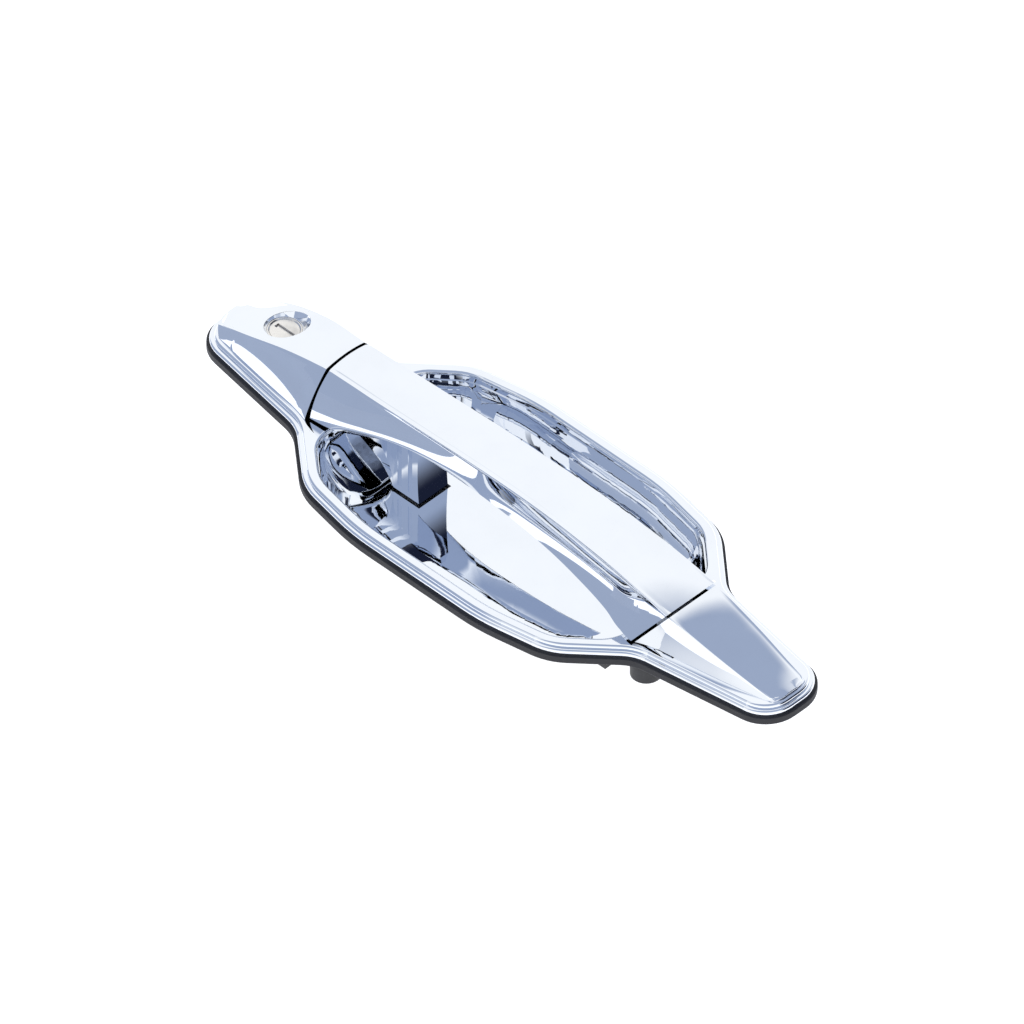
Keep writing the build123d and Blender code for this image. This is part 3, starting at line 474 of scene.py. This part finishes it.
TIP_ROUND_R = 10.07
BAND_HALF = 47.0
LEAN = 0.74


def eased(table, x, column):
    """A table's column at x, on a smooth curve through its rows."""
    i = max(k for k in range(len(table) - 1) if k == 0 or table[k][0] <= x)
    a, b = table[i], table[i + 1]
    before = table[i - 1] if i else a
    after = table[i + 2] if i + 2 < len(table) else b
    span = b[0] - a[0]
    t = (x - a[0]) / span
    slope_a = (b[column] - before[column]) / (b[0] - before[0]) * span
    slope_b = (after[column] - a[column]) / (after[0] - a[0]) * span
    lead = (2 * t ** 3 - 3 * t ** 2 + 1) * a[column] + (t ** 3 - 2 * t ** 2 + t) * slope_a
    return lead + (3 * t ** 2 - 2 * t ** 3) * b[column] + (t ** 3 - t ** 2) * slope_b


def straight(table, x):
    """A table's second column at x, on straight lines between its rows."""
    for low, high in zip(table, table[1:]):
        if x <= high[0]:
            return low[1] + (high[1] - low[1]) * (x - low[0]) / (high[0] - low[0])
    return table[-1][1]


def section_point(x, v, table, foot_half):
    """A point of the section at x; v runs from -1 at one foot to +1 at the other."""
    top = RUBBER_TOP + eased(table, x, 1) + SKIN
    foot = RUBBER_TOP + eased(table, x, 2)
    ridge_half = eased(table, x, 4) + RIDGE_SKIN
    bulge = eased(table, x, 5)
    side = 1.0 if v > 0 else -1.0
    edge = top - CROWN
    if abs(v) <= RIDGE_V:
        y = abs(v) / RIDGE_V * ridge_half
        return x, side * y, top - CROWN * (y / ridge_half) ** 2
    t = (abs(v) - RIDGE_V) / (1 - RIDGE_V)
    rise = edge - foot
    mid_y = (foot_half + ridge_half) / 2 + bulge * rise
    mid_z = (edge + foot) / 2 + 0.4 * bulge * rise
    first = ((mid_y - ridge_half) ** 2 + (mid_z - edge) ** 2) ** 0.5
    second = ((foot_half - mid_y) ** 2 + (foot - mid_z) ** 2) ** 0.5
    m = first / (first + second)
    w0, w1, w2 = (t - m) * (t - 1) / m, t * (t - 1) / (m * (m - 1)), t * (t - m) / (1 - m)
    return x, side * (w0 * ridge_half + w1 * mid_y + w2 * foot_half), w0 * edge + w1 * mid_z + w2 * foot


def tip_limit(x):
    """Half width of the caps inside the rounded tips."""
    past = abs(x) - TIP_ROUND_X
    if past <= 0:
        return BAND_HALF
    return TIP_ROUND_Y + max(0.0, TIP_ROUND_R ** 2 - past ** 2) ** 0.5


def chrome_skin(table, x0, x1, foot_half):
    """A smooth skin over the sections of a table between x0 and x1, its ridges bevelled."""
    rows = int((x1 - x0) / ROW_STEP)
    shape = bmesh.new()
    bmesh.ops.create_grid(shape, x_segments=rows, y_segments=COLUMNS, size=1.0)
    creases = []
    for edge in shape.edges:
        v0, v1 = (vert.co.y for vert in edge.verts)
        if abs(v0 - v1) < 1e-5 and abs(abs(v0) - RIDGE_V) < 1e-4:
            creases.append(edge)
    for vert in shape.verts:
        x = x0 + (x1 - x0) * (vert.co.x + 1) / 2
        x, y, z = section_point(x, vert.co.y, table, foot_half(x))
        limit = tip_limit(x)
        vert.co = Vector((x, max(-limit, min(limit, y)), z)) * MM
    bmesh.ops.bevel(
        shape, geom=creases, offset=RIDGE_ROUND * MM, segments=4, profile=0.5, affect="EDGES", material=-1,
        clamp_overlap=True,
    )
    return shape


def trimmed(shape, point, normal):
    """The shape without what lies beyond the plane."""
    geom = shape.verts[:] + shape.edges[:] + shape.faces[:]
    bmesh.ops.bisect_plane(
        shape, geom=geom, dist=1e-7, plane_co=Vector(point) * MM, plane_no=normal, clear_outer=True
    )
    return shape


def scoop_edge(way):
    """Where the flared recess of the lock meets the key cap's top, out from the lock along way."""
    reach = SCOOP_R
    for step in range(SCOOP_STEPS):
        x, y = LOCK_X + way.x * reach, way.y * reach
        ridge = eased(KEY_LINE, x, 4) + RIDGE_SKIN
        top = RUBBER_TOP + eased(KEY_LINE, x, 1) + SKIN - CROWN * (y / ridge) ** 2
        reach = SCOOP_R + (top - LOCK_TOP) * SCOOP_FLARE
    return Vector((x, y, top)), reach


def lock_hole(shape):
    """Open the key cap's skin round the lock and draw the opening's edge onto the recess."""
    centre = Vector((LOCK_X, 0.0)) * MM
    inner = []
    for vert in shape.verts:
        way = vert.co.xy - centre
        near = way.length < SCOOP_INNER * MM
        if near and way.length / MM < scoop_edge(way.normalized())[1] - SCOOP_MARGIN:
            inner.append(vert)
    bmesh.ops.delete(shape, geom=inner, context="VERTS")
    for vert in shape.verts:
        way = vert.co.xy - centre
        if vert.is_boundary and way.length < SCOOP_REACH * MM:
            vert.co = scoop_edge(way.normalized())[0] * MM
    return shape


class HANDLE_OT_skins(bpy.types.Operator):
    """Lay smooth chrome over the grip and both end caps"""
    bl_idname = "handle.skins"
    bl_label = "Chrome Skins"

    def execute(self, context):
        chrome = bpy.data.materials["chrome_plating"]
        lean = Vector((1.0, 0.0, -LEAN)).normalized()

        def grip_foot(x):
            return eased(GRIP_LINE, x, 3) + SKIN

        def cap_foot(x):
            return straight(PLATE_EDGE, x) - CAP_INSET + SKIN

        grip = chrome_skin(GRIP_LINE, KEY_SHUT + SHUT_GAP, GRIP_END, grip_foot)
        grip = trimmed(grip, (LEAN_SHUT - SHUT_GAP, 0, BAND_TOP), lean)
        key = chrome_skin(KEY_LINE, -CAP_END, KEY_SHUT - SHUT_GAP, cap_foot)
        key = lock_hole(key)
        hinge = chrome_skin(HINGE_LINE, HINGE_START, CAP_END, cap_foot)
        hinge = trimmed(hinge, (LEAN_SHUT + SHUT_GAP, 0, BAND_TOP), -lean)
        skins = (
            ("grip_skin", grip, "grip"),
            ("key_cap_skin", key, "base"),
            ("hinge_cap_skin", hinge, "base"),
        )
        for name, shape, body in skins:
            piece = finished(name, shape)
            piece.data.materials.append(chrome)
            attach(piece, body)
        return {"FINISHED"}


def middle(box):
    """A box's centre and its size."""
    low, high = Vector(box[0]), Vector(box[1])
    return (low + high) / 2, high - low


class HANDLE_OT_springs(bpy.types.Operator):
    """Wind the crank spring and the lock spring"""
    bl_idname = "handle.springs"
    bl_label = "Coil Springs"

    def execute(self, context):
        sizes = context.scene.handle_springs
        steel = turned_material("spring_steel", (0.42, 0.42, 0.44), 0.28)
        for node, axis, way in (("crank_spring", (0, 1, 0), 1), ("lock_spring", (0, 0, 1), 2)):
            centre, size = middle(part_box(node))
            radius = size[0] / 2 - sizes.wire
            coil = wire_coil(node + "_coil", centre, axis, radius, sizes.wire, sizes.turns, size[way])
            coil.data.materials.append(steel)
            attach(coil, "base")
            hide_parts(node)
        return {"FINISHED"}


# ---------------------------------------------------------------- studio
# metres
FLOOR_HALF = 3.0
FLOOR_GAP = 0.5 * MM
SCREEN_START = radians(190.0)
SCREEN_SWEEP = radians(54.0)
SCREEN_RADIUS = 0.30
SCREEN_HEIGHT = 0.12
LAMP_PLACE = (-0.5, 0.6, 1.3)
LAMP_SIZE = 1.2
LAMP_POWER = 6.0
CAMERA_AWAY = 1.5
CAMERA_REACH = 20.0


def build_world(look):
    """A white light tent with an open blue-grey top and dark flags at its sides."""
    world = bpy.data.worlds.get("light_tent") or bpy.data.worlds.new("light_tent")
    net = Net(world)
    way = net.out(net.node("TexCoord"), "Generated")

    def towards(azimuth, elevation):
        a, e = radians(azimuth), radians(elevation)
        point = (cos(a) * cos(e), sin(a) * cos(e), sin(e))
        return net.out(net.node("VectorMath", {"operation": "DOT_PRODUCT"}, i0=way, i1=point), "Value")

    right_top = net.spread(towards(0.0, 0.0), -0.24, -0.15) * net.spread(towards(0.0, 90.0), 0.5, 0.72)
    near_left = net.spread(towards(270.0, 0.0), -0.08, 0.14) * net.spread(towards(180.0, 0.0), 0.18, 0.45)
    open_side = net.maths("MAXIMUM", right_top, near_left)
    tent = net.mix(open_side, rgba(look.sky), rgba(look.dusk))
    tent = net.mix(net.spread(towards(33.0, 14.0), 0.80, 0.90), tent, rgba(look.flag))
    back = net.node("Background", None, Color=tent, Strength=1.0)
    net.node("OutputWorld", None, Surface=net.out(back))
    bpy.context.scene.world = world


def floor_material(look):
    """Matt white paper with a barely visible tooth."""
    made = new_material("studio_paper")
    net = Net(made)
    tooth = net.noise(net.place(), 260.0, 3.0, 0.6)
    net.finish(
        Base_Color=rgba(look.floor),
        Roughness=0.85,
        Emission_Color=(1.0, 1.0, 1.0, 1.0),
        Emission_Strength=0.85,
        Normal=net.bump(tooth, 0.00002, 0.2),
    )
    return made


def screen_material(look):
    """Blue-grey cloth of the screen beside the tent, a little uneven."""
    made = new_material("studio_screen")
    net = Net(made)
    cloth = net.noise(net.place(), 6.0, 3.0, 0.5)
    tone = net.mix(net.spread(cloth, 0.3, 0.7), rgba(look.dusk), rgba([c * 0.93 for c in look.dusk]))
    net.finish(Base_Color=(0.02, 0.02, 0.02, 1.0), Roughness=1.0, Emission_Color=tone, Emission_Strength=1.0)
    return made


def build_screen(look, floor_z):
    """A curved screen standing on the floor to the left of the camera."""
    shape = bmesh.new()
    foot = shape.verts.new((cos(SCREEN_START) * SCREEN_RADIUS, sin(SCREEN_START) * SCREEN_RADIUS, floor_z))
    bmesh.ops.extrude_vert_indiv(shape, verts=[foot])
    shape.verts.ensure_lookup_table()
    shape.verts[-1].co.z += SCREEN_HEIGHT
    bmesh.ops.spin(
        shape, geom=shape.verts[:] + shape.edges[:], cent=(0, 0, 0), axis=(0, 0, 1), angle=SCREEN_SWEEP,
        steps=24, use_merge=False,
    )
    screen = finished("studio_screen", shape)
    screen.data.materials.append(screen_material(look))


class HANDLE_OT_studio(bpy.types.Operator):
    """Lay the floor, hang the light tent and place the camera"""
    bl_idname = "handle.studio"
    bl_label = "Studio"

    def execute(self, context):
        look = context.scene.handle_studio
        scene = context.scene
        sheet = bmesh.new()
        floor_z = cad_box[0][2] - FLOOR_GAP
        bmesh.ops.create_grid(sheet, x_segments=1, y_segments=1, size=FLOOR_HALF)
        bmesh.ops.translate(sheet, verts=sheet.verts, vec=(0, 0, floor_z))
        floor = finished("studio_floor", sheet, smooth=False)
        floor.data.materials.append(floor_material(look))
        build_screen(look, floor_z)
        build_world(look)
        lamp_data = bpy.data.lights.new("tent_lamp", "AREA")
        lamp_data.energy = LAMP_POWER
        lamp_data.size = LAMP_SIZE
        lamp = bpy.data.objects.new("tent_lamp", lamp_data)
        lamp.location = LAMP_PLACE
        lamp.rotation_euler = (-lamp.location).to_track_quat("-Z", "Y").to_euler()
        lamp.visible_glossy = False
        scene.collection.objects.link(lamp)
        a, e = look.azimuth, look.elevation
        back = Vector((sin(a) * cos(e), -cos(a) * cos(e), sin(e)))
        target = Vector((0.0, 0.0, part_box("perimeter_gasket")[1][2]))
        view = bpy.data.cameras.new("studio_camera")
        view.type = "ORTHO"
        view.ortho_scale = look.field
        view.clip_end = CAMERA_REACH
        camera = bpy.data.objects.new("studio_camera", view)
        camera.location = target + back * CAMERA_AWAY
        camera.rotation_euler = (-back).to_track_quat("-Z", "Y").to_euler()
        scene.collection.objects.link(camera)
        scene.camera = camera
        scene.view_settings.view_transform = "Standard"
        return {"FINISHED"}


class HANDLE_PT_panel(bpy.types.Panel):
    """Sidebar panel with the steps that finish the handle"""
    bl_idname = "HANDLE_PT_panel"
    bl_label = "Car Door Handle"
    bl_space_type = "VIEW_3D"
    bl_region_type = "UI"
    bl_category = "Handle"

    def draw(self, context):
        for group in (context.scene.handle_finish, context.scene.handle_springs, context.scene.handle_studio):
            for name in group.__annotations__:
                self.layout.prop(group, name)
        for step in STEPS:
            self.layout.operator(step.bl_idname)


STEPS = (
    HANDLE_OT_chrome,
    HANDLE_OT_rubber,
    HANDLE_OT_lock,
    HANDLE_OT_mechanism,
    HANDLE_OT_skins,
    HANDLE_OT_springs,
    HANDLE_OT_studio,
)
GROUPS = {"handle_finish": HandleFinish, "handle_springs": HandleSprings, "handle_studio": HandleStudio}


def register():
    for name, group in GROUPS.items():
        bpy.utils.register_class(group)
        setattr(bpy.types.Scene, name, bpy.props.PointerProperty(type=group))
    for step in STEPS:
        bpy.utils.register_class(step)
    bpy.utils.register_class(HANDLE_PT_panel)


def unregister():
    bpy.utils.unregister_class(HANDLE_PT_panel)
    for step in reversed(STEPS):
        bpy.utils.unregister_class(step)
    for name, group in GROUPS.items():
        delattr(bpy.types.Scene, name)
        bpy.utils.unregister_class(group)


def main():
    register()
    bpy.ops.handle.chrome()
    bpy.ops.handle.rubber()
    bpy.ops.handle.lock()
    bpy.ops.handle.mechanism()
    bpy.ops.handle.skins()
    bpy.ops.handle.springs()
    bpy.ops.handle.studio()
    bpy.context.view_layer.update()


if __name__ == "__main__":
    main()
